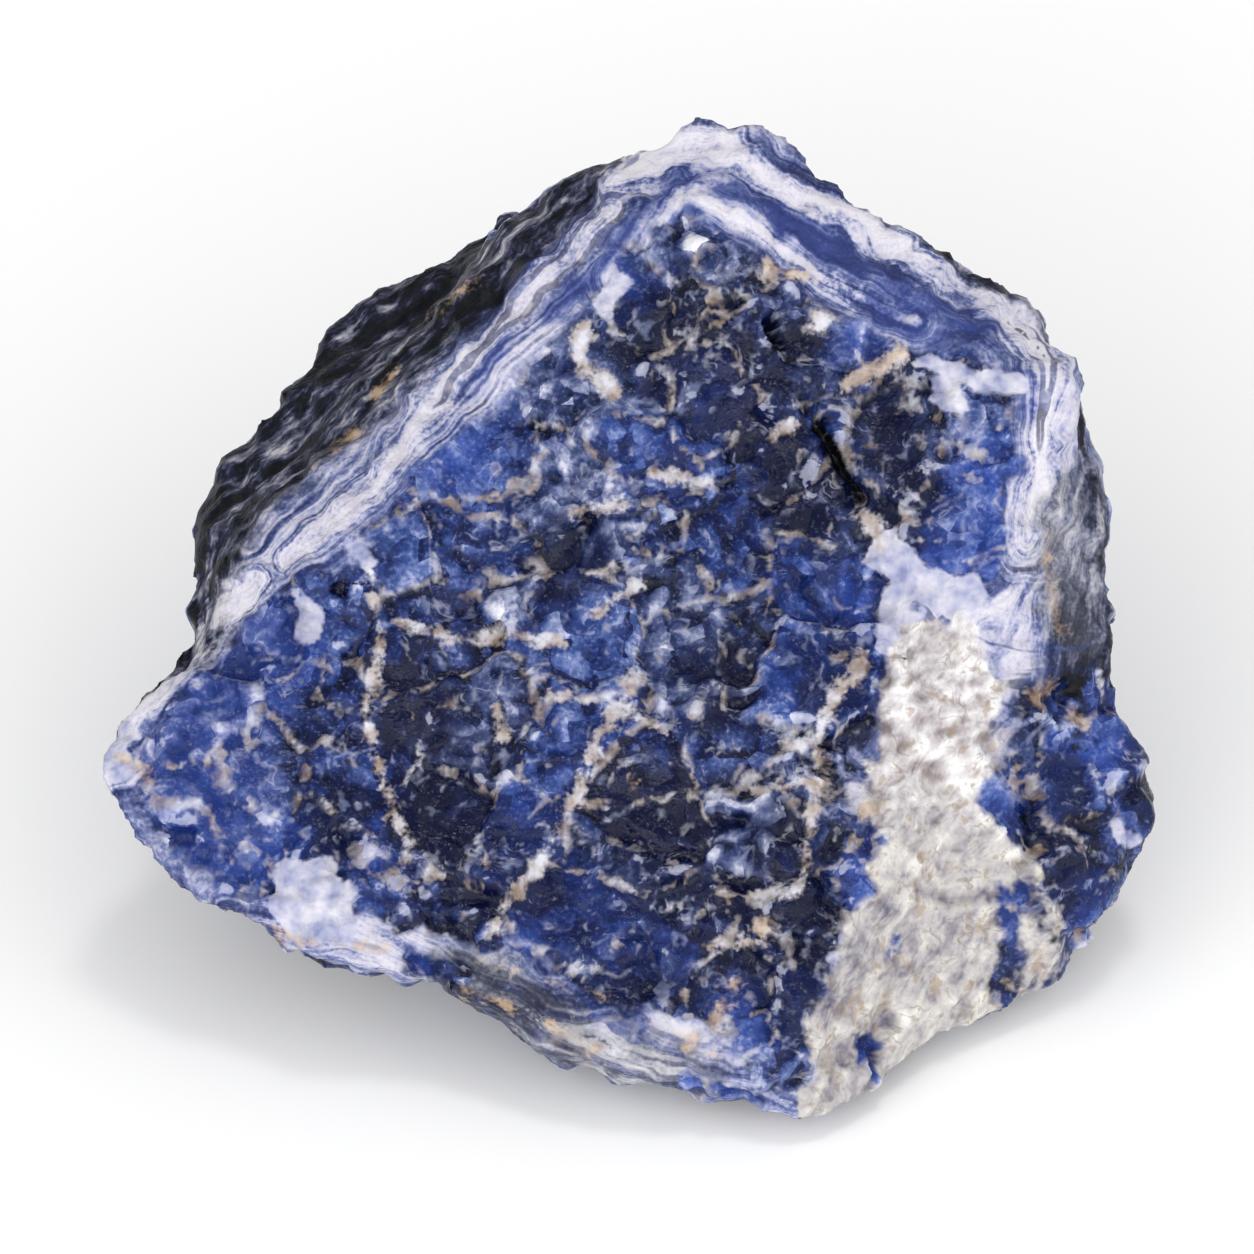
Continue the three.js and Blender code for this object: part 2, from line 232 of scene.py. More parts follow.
# how the marks are painted, in mm
brush = {
    "farOff": -9.0,  # the reach of a spot that no mark comes near
    "seed": 7,
    "coarseScale": 0.35, "strokeCoarse": 1.1, "outlineCoarse": 0.9,  # a slow and a quick wobble of the edges
    "fineScale": 1.1, "strokeFine": 0.5, "outlineFine": 0.5,
    "turnedFrom": -0.2, "turnedFade": 30,  # marks stay off the sides that they don't face
    "inletRim": 0.8,  # blue grains around each inlet in the calcite
    # out of sight, patches of the same grains show here and there
    "sightWay": (0, -0.72, 0.69), "sightFrom": 0.1, "sightFade": 25, "sightMost": 12,
    "backScale": 0.09, "backShift": (3, 1, 7), "backReach": 16, "backStart": 2.5,
}

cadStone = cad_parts[stone["node"]]
rough = bpy.data.objects.new("roughSodalite", cadStone.data.copy())
bpy.context.scene.collection.objects.link(rough)
rough.data.name = "roughSodalite"
selectOnly(rough)
bpy.ops.object.mode_set(mode="EDIT")
bpy.ops.mesh.select_all(action="SELECT")
bpy.ops.mesh.remove_doubles(threshold=0.01 * mm)
bpy.ops.object.mode_set(mode="OBJECT")
remesh = rough.modifiers.new("evenFaces", "REMESH")
remesh.mode = "VOXEL"
remesh.voxel_size = stone["voxel"] * mm
bpy.ops.object.modifier_apply(modifier="evenFaces")
print("stone mesh:", len(rough.data.polygons), "faces")


def readVectors(mesh, what):
    flat = np.zeros(len(mesh.vertices) * 3)
    mesh.vertices.foreach_get(what, flat)
    return flat.reshape(-1, 3)


def strokeReach(spots, stroke, width):
    # how far inside the stroke each spot lies, in mm. outside it is negative
    best = np.full(len(spots), brush["farOff"])
    ends = [np.array(p, float) for p in stroke]
    for a, b in zip(ends, ends[1:] or ends):
        along = b - a
        share = np.clip((spots - a) @ along / max(along @ along, 1e-9), 0, 1)
        best = np.maximum(best, width - np.linalg.norm(spots - a - share[:, None] * along, axis=1))
    return best


def outlineReach(spots, outline):
    # the same for a closed outline
    edge = strokeReach(spots, outline + outline[:1], 0)
    inside = np.zeros(len(spots), bool)
    for (ax, ay), (bx, by) in zip(outline, outline[1:] + outline[:1]):
        if ay != by:
            crossing = ax + (spots[:, 1] - ay) * (bx - ax) / (by - ay)
            inside ^= ((ay > spots[:, 1]) != (by > spots[:, 1])) & (spots[:, 0] < crossing)
    return np.where(inside, -edge, edge)


places = readVectors(rough.data, "co") / mm
normals = readVectors(rough.data, "normal")
onPlane = np.stack([places[:, 0], places @ np.array(upSlope)], axis=1)
noise.seed_set(brush["seed"])  # without this the wobble is another one each run
coarse = np.array([noise.noise_vector(Vector(p) * brush["coarseScale"]) for p in places])[:, :2]
fine = np.array([noise.noise_vector(Vector(p) * brush["fineScale"]) for p in places])[:, :2]
strokeBend = coarse * brush["strokeCoarse"] + fine * brush["strokeFine"]
bentSpots = onPlane + (coarse * brush["outlineCoarse"] + fine * brush["outlineFine"])
facing = normals @ np.array(acrossLayers)
turnedAway = np.clip((brush["turnedFrom"] - facing) * brush["turnedFade"], 0, -brush["farOff"])
painted = {}
for name, marks in strokes.items():
    reach = np.full(len(places), brush["farOff"])
    for stroke, width in marks:
        reach = np.maximum(reach, strokeReach(onPlane + min(1, width) * strokeBend, stroke, width))
    painted[name] = reach - turnedAway
inlets = painted.pop("inlet")
painted["calcite"] = np.maximum(painted["calcite"], outlineReach(bentSpots, calciteFace) - turnedAway)
painted["calcite"] = np.minimum(painted["calcite"], -inlets)
inSight = (normals @ np.array(brush["sightWay"]) + brush["sightFrom"]) * brush["sightFade"]
backShift = Vector(brush["backShift"])
backReach = np.array([noise.noise(Vector(p) * brush["backScale"] + backShift) for p in places])
backReach = backReach * brush["backReach"] + brush["backStart"] - np.clip(inSight, 0, brush["sightMost"])
backReach = np.maximum(backReach, brush["farOff"])
faceReach = outlineReach(bentSpots, broadFace) - turnedAway
painted["granular"] = np.maximum.reduce([
    faceReach, painted.pop("lobe"), inlets + brush["inletRim"], backReach])
for name, reach in painted.items():
    field = rough.data.attributes.new(name, "FLOAT", "POINT")
    field.data.foreach_set("value", np.asarray(reach, np.float32))
print("zones painted")


def weighedSum(tree, start, shares):
    total = start
    for source, share in shares:
        total = addNode(tree, "ShaderNodeMath", {0: source, 1: share, 2: total}, operation="MULTIPLY_ADD")
    return total


def leaningFaces(tree, place, cells):
    # each cell is a broken face that leans its own way
    fromCentre = addNode(tree, "ShaderNodeVectorMath", {0: place, 1: cells.outputs["Position"]},
                         operation="SUBTRACT")
    lean = addNode(tree, "ShaderNodeVectorMath", {0: cells.outputs["Color"], 1: (0.5, 0.5, 0.5)},
                   operation="SUBTRACT")
    return addNode(tree, "ShaderNodeVectorMath", {0: fromCentre, 1: lean}, operation="DOT_PRODUCT")


def rockFields(tree, place, bent):
    # the patterns that both the relief and the colours follow, in mm. bent is the place with its lines bent
    grain = addNode(tree, "ShaderNodeTexVoronoi", {"Vector": bent, "Scale": 1 / stone["grain"]})
    curl = addNode(tree, "ShaderNodeTexNoise",
                   {"Vector": bent, "Scale": 1 / stone["curl"], "Detail": 2.0, "Distortion": 0.8})
    wavy = addNode(tree, "ShaderNodeMix", {"Factor": 0.3, "A": place, "B": bent}, data_type="VECTOR")
    depth = addNode(tree, "ShaderNodeVectorMath", {0: wavy, 1: tuple(acrossLayers)}, operation="DOT_PRODUCT")
    pressed = addNode(tree, "ShaderNodeVectorMath", {0: tuple(acrossLayers), "Scale": depth},
                      operation="SCALE")
    # layers are about ten times as long as they are thick
    layered = addNode(tree, "ShaderNodeVectorMath", {0: wavy, 1: (0.1, 0.1, 0.1), 2: pressed},
                      operation="MULTIPLY_ADD")
    streak = addNode(tree, "ShaderNodeTexNoise",
                     {"Vector": layered, "Scale": 1 / stone["layer"], "Detail": 4.0, "Roughness": 0.68})
    down = addNode(tree, "ShaderNodeVectorMath", {0: place, 1: tuple(upSlope)}, operation="DOT_PRODUCT")
    # fibres are drawn out along their own way
    drawn = addNode(tree, "ShaderNodeVectorMath", {0: place, 1: tuple(fibreWay)}, operation="DOT_PRODUCT")
    shrink = tuple(fibreWay * -stone["fibreStretch"])
    drawn = addNode(tree, "ShaderNodeVectorMath", {0: shrink, "Scale": drawn}, operation="SCALE")
    fibrous = addNode(tree, "ShaderNodeVectorMath", {0: bent, 1: drawn})
    fibre = addNode(tree, "ShaderNodeTexNoise",
                    {"Vector": fibrous, "Scale": 1 / stone["fibre"], "Detail": 2.0, "Roughness": 0.6})
    # the top of the calcite is folded like a shell
    sideways = addNode(tree, "ShaderNodeSeparateXYZ", {0: place})
    ribs = weighedSum(tree, 0, [
        (down, stone["ribDown"] / stone["rib"]), (sideways, stone["ribSideways"] / stone["rib"]),
        (curl, stone["ribBend"])])
    ribs = addNode(tree, "ShaderNodeMath", {0: ribs}, operation="SINE")
    ribShare = addNode(tree, "ShaderNodeMapRange", {"Value": down, "From Min": -3.0, "From Max": 1.0})
    ribs = addNode(tree, "ShaderNodeMath", {0: ribs, 1: ribShare}, operation="MULTIPLY")
    return {"grain": grain, "curl": curl, "layered": layered, "streak": streak, "fibre": fibre,
            "wavy": wavy, "down": down, "ribs": ribs, "crystals": leaningFaces(tree, bent, grain)}


relief = bpy.data.node_groups.new("stoneRelief", "GeometryNodeTree")
relief.interface.new_socket("Geometry", in_out="INPUT", socket_type="NodeSocketGeometry")
relief.interface.new_socket("Geometry", in_out="OUTPUT", socket_type="NodeSocketGeometry")
groupIn = addNode(relief, "NodeGroupInput")
normal = addNode(relief, "GeometryNodeInputNormal")
place = addNode(relief, "GeometryNodeInputPosition")
place = addNode(relief, "ShaderNodeVectorMath", {0: place, "Scale": 1 / mm}, operation="SCALE")
warp = addNode(relief, "ShaderNodeTexNoise", {"Vector": place, "Scale": stone["bendScale"], "Detail": 2.0})
bent = addNode(relief, "ShaderNodeVectorMath", {0: warp.outputs["Color"], 1: [stone["bend"]] * 3, 2: place},
               operation="MULTIPLY_ADD")
patch = addNode(relief, "ShaderNodeTexVoronoi",
                {"Vector": bent, "Scale": 1 / stone["patch"], "Smoothness": 0.08}, feature="SMOOTH_F1")
patchTone = addNode(relief, "ShaderNodeSeparateXYZ", {0: patch.outputs["Color"]}).outputs
patchEdge = addNode(relief, "ShaderNodeTexVoronoi", {"Vector": bent, "Scale": 1 / stone["patch"]},
                    feature="DISTANCE_TO_EDGE")
lump = addNode(relief, "ShaderNodeTexVoronoi",
               {"Vector": bent, "Scale": 1 / stone["lump"], "Smoothness": 0.1}, feature="SMOOTH_F1")
lumpEdge = addNode(relief, "ShaderNodeTexVoronoi", {"Vector": bent, "Scale": 1 / stone["lump"]},
                   feature="DISTANCE_TO_EDGE")
mottle = addNode(relief, "ShaderNodeTexNoise",
                 {"Vector": bent, "Scale": 1 / stone["mottle"], "Detail": 3.0, "Roughness": 0.6})
swell = addNode(relief, "ShaderNodeTexNoise", {"Vector": place, "Scale": 1 / stone["swell"], "Detail": 1.0})
fields = rockFields(relief, place, bent)
zone = {}
for name in ("granular", "calcite", "crack"):
    reach = addNode(relief, "GeometryNodeInputNamedAttribute", {"Name": name})
    zone[name] = addNode(relief, "ShaderNodeMapRange", {"Value": reach, "From Min": -0.4, "From Max": 0.4},
                         interpolation_type="SMOOTHSTEP")
# some patches broke smooth and some broke into crystals
broken = addNode(relief, "ShaderNodeMapRange",
                 {"Value": patchTone[1], "From Min": 0.3, "From Max": 0.7, "To Min": 0.3})
small = weighedSum(relief, (stone["lumpHeight"] - stone["curlHeight"]) / 2, [
    (lump, -stone["lumpHeight"]), (leaningFaces(relief, bent, lump), stone["lumpLean"]),
    (fields["crystals"], stone["grainLean"]), (fields["curl"], stone["curlHeight"])])
large = weighedSum(relief, -(stone["swellHeight"] + stone["patchStep"]) / 2 - stone["sink"], [
    (swell, stone["swellHeight"]), (leaningFaces(relief, bent, patch), stone["patchLean"]),
    (patchTone[0], stone["patchStep"])])
grains = weighedSum(relief, large, [(small, broken)])
layers = weighedSum(relief, -stone["layerHeight"] / 2, [
    (fields["streak"], stone["layerHeight"]), (large, 0.8), (small, 0.4)])
fibres = weighedSum(relief, -stone["fibreHeight"] / 2, [
    (fields["fibre"], stone["fibreHeight"]), (fields["ribs"], stone["ribHeight"]),
    (large, 0.9), (small, 0.18)])
height = addNode(relief, "ShaderNodeMix", {"Factor": zone["granular"], "A": layers, "B": grains})
height = addNode(relief, "ShaderNodeMix", {"Factor": zone["calcite"], "A": height, "B": fibres})
height = addNode(relief, "GeometryNodeBlurAttribute", {"Value": height, "Iterations": 1, "Weight": 0.6})
# edges that stand out are above the level around them, gaps below
level = addNode(relief, "GeometryNodeBlurAttribute", {"Value": height, "Iterations": 8, "Weight": 1.0})
proud = addNode(relief, "ShaderNodeMath", {0: height, 1: level}, operation="SUBTRACT")
# the colours read these off the mesh, so that they stay on their forms
kept = {"place": place, "bent": bent, "patchColour": patch.outputs["Color"], "broken": broken,
        "patchEdge": patchEdge, "lumpCentre": lump, "lumpEdge": lumpEdge, "mottle": mottle, "proud": proud}
body = groupIn
for name, value in kept.items():
    kind = "FLOAT_VECTOR" if name in ("place", "bent", "patchColour") else "FLOAT"
    body = addNode(relief, "GeometryNodeStoreNamedAttribute",
                   {"Geometry": body, "Name": name, "Value": value}, data_type=kind)
height = addNode(relief, "ShaderNodeMath", {0: zone["crack"], 1: -stone["crackDepth"], 2: height},
                 operation="MULTIPLY_ADD")
# the spot that it rests on stays flat
aboveFloor = addNode(relief, "ShaderNodeSeparateXYZ", {0: place}).outputs["Z"]
clear = addNode(relief, "ShaderNodeMapRange", {"Value": aboveFloor, "From Min": 0.05, "From Max": 0.8})
height = addNode(relief, "ShaderNodeMath", {0: height, 1: clear}, operation="MULTIPLY")
height = addNode(relief, "ShaderNodeMath", {0: height, 1: mm}, operation="MULTIPLY")
offset = addNode(relief, "ShaderNodeVectorMath", {0: normal, "Scale": height}, operation="SCALE")
moved = addNode(relief, "GeometryNodeSetPosition", {"Geometry": body, "Offset": offset})
addNode(relief, "NodeGroupOutput", {0: moved})

selectOnly(rough)
carve = rough.modifiers.new("relief", "NODES")
carve.node_group = relief
bpy.ops.object.modifier_apply(modifier="relief")
places = np.clip(readVectors(rough.data, "co"), np.array(cadLow), np.array(cadHigh))
rough.data.vertices.foreach_set("co", places.ravel())
rough.data.update()
bpy.ops.object.shade_smooth()
print("relief carved")

# rough broken sodalite with calcite veins: a glassy blue mineral, so it shines softly on each small
# broken face, deep navy to royal blue, with white and cream calcite that looks drier
sodalite = {
    "blues": [(0.2, "#050a28"), (0.35, "#0e1946"), (0.46, "#1c2f68"), (0.56, "#324782"), (0.66, "#52659d"),
              (0.8, "#949dc2"), (0.94, "#dfe2ee")],
    "slates": [(0.2, "#060a22"), (0.35, "#101939"), (0.46, "#252f54"), (0.56, "#40486b"), (0.66, "#666c8b"),
               (0.8, "#9fa1b6"), (0.94, "#e2e0e4")],
    "darkLayers": [(0.36, "#03050b"), (0.46, "#12162a"), (0.54, "#393c52"), (0.63, "#6b6c7c"),
                   (0.78, "#b3b1b6")],
    "whiteLayers": [(0.1, "#131a3e"), (0.26, "#2c3666"), (0.38, "#5f6994"), (0.47, "#989bb9"),
                    (0.57, "#bdbbcb"), (0.75, "#d3d0d8")],
    "calciteTop": [(0.28, "#857c7e"), (0.43, "#ada6a9"), (0.57, "#cbc7c8"), (0.71, "#e5e3e3")],
    "calciteLow": [(0.26, "#55566c"), (0.38, "#87838a"), (0.48, "#a9a5a7"), (0.6, "#c0bcb9"),
                   (0.74, "#dad7d1")],
    "veins": [(0.34, "#9b8878"), (0.43, "#b3a69f"), (0.52, "#c2bbbd"), (0.64, "#d6d5dd")],
    "wisps": [(0.42, "#98a3cb"), (0.6, "#c6c7d8"), (0.74, "#bfaa97")],
    "whites": [(0.3, "#7f86ad"), (0.44, "#a9abc4"), (0.58, "#c2c1d0"), (0.7, "#d6d3da")],
    "tans": [(0.35, "#6a5947"), (0.5, "#a08361"), (0.65, "#cab08f")],
    # the last colour on the next line is the painted highlight on raised edges
    "royal": "#2a48a4", "violet": "#4355a6", "dusk": "#070d2e", "dots": "#98a3cb", "rimHighlight": "#c6c7d8",
    # the last colour on the next line paints the inside of the crack near-black: painted shade
    "stain": "#8d7459", "crease": "#7a6a5e", "crack": "#05060a",
    "fleck": 0.22, "fray": 1.1,  # mm: the finest specks and the rough edges of the zones
    "flakeScale": 1.3, "ribbonScale": 1.1, "lensScale": 0.7,
    "whiteFrom": 13.2, "whiteTo": 14.3,  # mm: the layers turn white this far out
    "ior": 1.48, "specular": 0.19,
}
skin = bpy.data.materials.new("roughSodalite")
skin.use_nodes = True
tree = skin.node_tree
shader = tree.nodes["Principled BSDF"]
saved = {name: addNode(tree, "ShaderNodeAttribute", attribute_name=name).outputs for name in kept}
place, bent = saved["place"]["Vector"], saved["bent"]["Vector"]
patchTone = addNode(tree, "ShaderNodeSeparateXYZ", {0: saved["patchColour"]["Vector"]}).outputs
fields = rockFields(tree, place, bent)
fleck = addNode(tree, "ShaderNodeTexNoise", {"Vector": place, "Scale": 1 / sodalite["fleck"], "Detail": 1.0})
fray = addNode(tree, "ShaderNodeTexNoise",
               {"Vector": place, "Scale": 1 / sodalite["fray"], "Detail": 2.0, "Roughness": 0.6})
frays = addNode(tree, "ShaderNodeSeparateColor", {0: fray.outputs["Color"]}).outputs


def thinLine(source, ring, width, shown, rare, strength):
    # a line where the source passes the ring, broken up where the shown noise is below rare
    offLine = addNode(tree, "ShaderNodeMath", {0: source, 1: ring}, operation="SUBTRACT")
    offLine = addNode(tree, "ShaderNodeMath", {0: offLine}, operation="ABSOLUTE")
    offLine = addNode(tree, "ShaderNodeMath", {0: fleck, 1: width, 2: offLine}, operation="MULTIPLY_ADD")
    line = addNode(tree, "ShaderNodeMapRange",
                   {"Value": offLine, "From Min": width * 1.5, "From Max": width * 0.5, "To Max": strength})
    gate = addNode(tree, "ShaderNodeMapRange", {"Value": shown, "From Min": rare, "From Max": rare + 0.08})
    return addNode(tree, "ShaderNodeMath", {0: line, 1: gate}, operation="MULTIPLY")


# each zone: how ragged its edge is, how far single flecks reach over it and how soft it is, in mm
zoneEdges = {
    "granular": (2.2, 0.5, 0.3), "white": (1, 0.2, 0.15), "frost": (3, 0.5, 1), "royal": (3, 0.5, 1),
    "dusk": (3, 0.5, 1.1), "vein": (1.5, 0.6, 0.24), "tan": (1.6, 0.9, 0.3), "calcite": (1.8, 0.2, 0.3),
    "crack": (0.3, 0.3, 0.12), "cream": (1.6, 0.5, 0.7), "blueBand": (1.6, 0.5, 0.5),
    "greyRock": (2, 0.5, 0.8),
}
zone = {}
for number, (name, (ragged, specks, soft)) in enumerate(zoneEdges.items()):
    reach = addNode(tree, "ShaderNodeAttribute", attribute_name=name).outputs["Fac"]
    frayed = weighedSum(tree, reach, [(frays[number % 3], ragged), (fleck, specks)])
    middle = (ragged + specks) / 2
    zone[name] = addNode(tree, "ShaderNodeMapRange",
                         {"Value": frayed, "From Min": middle - soft, "From Max": middle + soft},
                         interpolation_type="SMOOTHSTEP")

# blue grains: brighter and darker patches, then broken faces, then single crystals
chosen = addNode(tree, "ShaderNodeSeparateColor", {0: fields["grain"].outputs["Color"]}).outputs
crystalTone = weighedSum(tree, -0.25, [(chosen[0], 0.22), (fields["curl"], 0.27)])
# painted light and shade: edges that stand out are painted lighter and the gaps between them darker
ridgeLightGapShade = addNode(tree, "ShaderNodeMapRange", {
    "Value": saved["proud"]["Fac"], "From Min": -0.3, "From Max": 0.3, "To Min": -0.22, "To Max": 0.27})
# painted light and shade: the crystals term paints each crystal lighter on one side and darker on the other,
# as a lit facet
tone = weighedSum(tree, -0.16, [
    (saved["mottle"]["Fac"], 0.42), (patchTone[0], 0.19), (ridgeLightGapShade, 1),
    (crystalTone, saved["broken"]["Fac"]), (fields["crystals"], 0.3), (fleck, 0.3), (fray, 0.28),
    (zone["royal"], 0.05), (zone["dusk"], -0.19), (zone["frost"], 0.14)])
blue = addNode(tree, "ShaderNodeValToRGB", {0: tone}, stops=sodalite["blues"])
slate = addNode(tree, "ShaderNodeValToRGB", {0: tone}, stops=sodalite["slates"])
greyer = addNode(tree, "ShaderNodeMapRange", {
    "Value": patchTone[2], "From Min": 0.6, "From Max": 0.3, "To Min": 0.1, "To Max": 0.75})
blue = addNode(tree, "ShaderNodeMix", {"Factor": greyer, "A": blue, "B": slate}, data_type="RGBA")
dots = addNode(tree, "ShaderNodeMapRange", {"Value": fleck, "From Min": 0.6, "From Max": 0.8, "To Max": 0.22})
blue = addNode(tree, "ShaderNodeMix", {"Factor": dots, "A": blue, "B": sodalite["dots"]}, data_type="RGBA")
bluer = addNode(tree, "ShaderNodeMapRange",
                {"Value": patchTone[2], "From Min": 0.68, "From Max": 0.8, "To Max": 0.13})
royalShare = addNode(tree, "ShaderNodeMath", {0: zone["royal"], 1: 0.32, 2: bluer}, operation="MULTIPLY_ADD")
blue = addNode(tree, "ShaderNodeMix", {"Factor": royalShare, "A": blue, "B": sodalite["royal"]},
               data_type="RGBA")
duskShare = addNode(tree, "ShaderNodeMath", {0: zone["dusk"], 1: 0.56}, operation="MULTIPLY")
blue = addNode(tree, "ShaderNodeMix", {"Factor": duskShare, "A": blue, "B": sodalite["dusk"]},
               data_type="RGBA")

# pale lines between some of the lumps, short curled wisps and pale rims around some crystals
wisps = addNode(tree, "ShaderNodeValToRGB", {0: frays[2]}, stops=sodalite["wisps"])
veins = addNode(tree, "ShaderNodeValToRGB", {0: frays[0]}, stops=sodalite["veins"])
for line, paint in (
        (thinLine(saved["lumpEdge"]["Fac"], 0, 0.07, frays[0], 0.52, 0.38), wisps),
        (thinLine(fields["curl"], 0.56, 0.04, frays[0], 0.55, 0.38), wisps),
        (thinLine(saved["lumpCentre"]["Fac"], 0.42, 0.07, frays[2], 0.55, 0.38), wisps),
        (thinLine(saved["patchEdge"]["Fac"], 0, 0.05, frays[1], 0.48, 0.7), veins)):
    blue = addNode(tree, "ShaderNodeMix", {"Factor": line, "A": blue, "B": paint}, data_type="RGBA")
# painted highlight: edges that stand out are painted pale here and there, as light catching them
rimHighlight = weighedSum(tree, -0.5, [(saved["proud"]["Fac"], 1.6), (fray, 1), (chosen[1], 0.3), (fleck, 0.25)])
rimHighlight = addNode(tree, "ShaderNodeMapRange",
               {"Value": rimHighlight, "From Min": 0.62, "From Max": 0.71, "To Max": 0.42})
blue = addNode(tree, "ShaderNodeMix", {"Factor": rimHighlight, "A": blue, "B": sodalite["rimHighlight"]}, data_type="RGBA")

# layered rock at the sides: white near the broad face, nearly black with pale streaks deeper in
depth = addNode(tree, "ShaderNodeVectorMath", {0: fields["wavy"], 1: outOfFace}, operation="DOT_PRODUCT")
depth = weighedSum(tree, depth, [(fray, 1.2), (zone["cream"], 1)])
across = addNode(tree, "ShaderNodeVectorMath", {0: fields["wavy"], 1: (0.4, 0.4, 0.4)}, operation="MULTIPLY")
across = addNode(tree, "ShaderNodeVectorMath", {0: fields["layered"], 1: across})
flakes = addNode(tree, "ShaderNodeTexNoise",
                 {"Vector": across, "Scale": sodalite["flakeScale"], "Detail": 3.0, "Roughness": 0.64})
# along the ledge, the ridge and the rim the streaks follow the edge
fromEdge = addNode(tree, "ShaderNodeAttribute", attribute_name="cream").outputs["Fac"]
edgewise = addNode(tree, "ShaderNodeVectorMath", {0: fields["wavy"], 1: (0.12, 0.12, 0.12), 2: fromEdge},
                   operation="MULTIPLY_ADD")
ribbons = addNode(tree, "ShaderNodeTexNoise",
                  {"Vector": edgewise, "Scale": sodalite["ribbonScale"], "Detail": 3.0, "Roughness": 0.62})
nearEdge = addNode(tree, "ShaderNodeMapRange",
                   {"Value": fromEdge, "From Min": -3.0, "From Max": -1.0, "To Max": 0.8})
streaks = addNode(tree, "ShaderNodeMix", {"Factor": nearEdge, "A": fields["streak"], "B": ribbons})
layerTone = weighedSum(tree, -0.87, [
    (streaks, 1.5), (fleck, 0.24), (flakes, 0.3), (saved["mottle"]["Fac"], 0.5),
    (zone["cream"], 0.3), (zone["blueBand"], -0.15)])
darkTone = weighedSum(tree, -0.455, [
    (flakes, 0.85), (layerTone, 0.6), (fray, 0.2), (saved["mottle"]["Fac"], 0.3)])
darkLayers = addNode(tree, "ShaderNodeValToRGB", {0: darkTone}, stops=sodalite["darkLayers"])
whiteLayers = addNode(tree, "ShaderNodeValToRGB", {0: layerTone}, stops=sodalite["whiteLayers"])
band = addNode(tree, "ShaderNodeMapRange",
               {"Value": depth, "From Min": sodalite["whiteFrom"], "From Max": sodalite["whiteTo"]})
band = addNode(tree, "ShaderNodeMix", {"Factor": zone["greyRock"], "A": band, "B": 0.62})
violetShare = addNode(tree, "ShaderNodeMath", {0: zone["blueBand"], 1: 0.28}, operation="MULTIPLY")
whiteLayers = addNode(tree, "ShaderNodeMix",
                      {"Factor": violetShare, "A": whiteLayers, "B": sodalite["violet"]}, data_type="RGBA")
layered = addNode(tree, "ShaderNodeMix", {"Factor": band, "A": darkLayers, "B": whiteLayers},
                  data_type="RGBA")
colourful = addNode(tree, "ShaderNodeMapRange", {"Value": zone["greyRock"], "To Min": 1.0, "To Max": 0.5})
layered = addNode(tree, "ShaderNodeHueSaturation", {"Color": layered, "Saturation": colourful})
# lenses of blue grains lie between the white layers
lenses = addNode(tree, "ShaderNodeTexNoise",
                 {"Vector": edgewise, "Scale": sodalite["lensScale"], "Detail": 2.0})
lenses = addNode(tree, "ShaderNodeMapRange",
                 {"Value": lenses, "From Min": 0.58, "From Max": 0.62, "To Max": 0.75})
lenses = addNode(tree, "ShaderNodeMath", {0: lenses, 1: band}, operation="MULTIPLY")
layered = addNode(tree, "ShaderNodeMix", {"Factor": lenses, "A": layered, "B": blue}, data_type="RGBA")
colour = addNode(tree, "ShaderNodeMix", {"Factor": zone["granular"], "A": layered, "B": blue},
                 data_type="RGBA")

# calcite and the veins
whites = addNode(tree, "ShaderNodeValToRGB", {0: fray}, stops=sodalite["whites"])
whiteShare = addNode(tree, "ShaderNodeMath", {0: zone["white"], 1: 0.92}, operation="MULTIPLY")
colour = addNode(tree, "ShaderNodeMix", {"Factor": whiteShare, "A": colour, "B": whites}, data_type="RGBA")
# painted light and shade: calcite that stands out is painted paler and its hollows darker, and the shell
# folds in paler and darker bands
calciteTone = weighedSum(tree, -0.465, [
    (fields["fibre"], 0.52), (frays[1], 0.55), (fleck, 0.1), (saved["mottle"]["Fac"], 0.8),
    (saved["proud"]["Fac"], 0.6), (fields["ribs"], 0.06)])
calciteTop = addNode(tree, "ShaderNodeValToRGB", {0: calciteTone}, stops=sodalite["calciteTop"])
calciteLow = addNode(tree, "ShaderNodeValToRGB", {0: calciteTone}, stops=sodalite["calciteLow"])
lowShare = weighedSum(tree, fields["down"], [(fray, 5)])
lowShare = addNode(tree, "ShaderNodeMapRange", {"Value": lowShare, "From Min": 1.5, "From Max": -2.5})
calcite = addNode(tree, "ShaderNodeMix", {"Factor": lowShare, "A": calciteTop, "B": calciteLow},
                  data_type="RGBA")
stain = weighedSum(tree, -0.42, [(frays[2], 0.8), (fleck, 0.3), (fields["fibre"], 0.8)])
stain = addNode(tree, "ShaderNodeMapRange",
                {"Value": stain, "From Min": 0.64, "From Max": 0.74, "To Max": 0.55})
calcite = addNode(tree, "ShaderNodeMix", {"Factor": stain, "A": calcite, "B": sodalite["stain"]},
                  data_type="RGBA")
for crease in (thinLine(saved["lumpEdge"]["Fac"], 0, 0.08, frays[2], 0.49, 0.6),
               thinLine(fields["curl"], 0.47, 0.035, frays[1], 0.52, 0.55)):
    calcite = addNode(tree, "ShaderNodeMix", {"Factor": crease, "A": calcite, "B": sodalite["crease"]},
                      data_type="RGBA")
colour = addNode(tree, "ShaderNodeMix", {"Factor": zone["calcite"], "A": colour, "B": calcite},
                 data_type="RGBA")
veinShare = addNode(tree, "ShaderNodeMath", {0: zone["vein"], 1: 0.88}, operation="MULTIPLY")
colour = addNode(tree, "ShaderNodeMix", {"Factor": veinShare, "A": colour, "B": veins}, data_type="RGBA")
tans = addNode(tree, "ShaderNodeValToRGB", {0: fray}, stops=sodalite["tans"])
tanShare = addNode(tree, "ShaderNodeMath", {0: zone["tan"], 1: 0.6}, operation="MULTIPLY")
colour = addNode(tree, "ShaderNodeMix", {"Factor": tanShare, "A": colour, "B": tans}, data_type="RGBA")
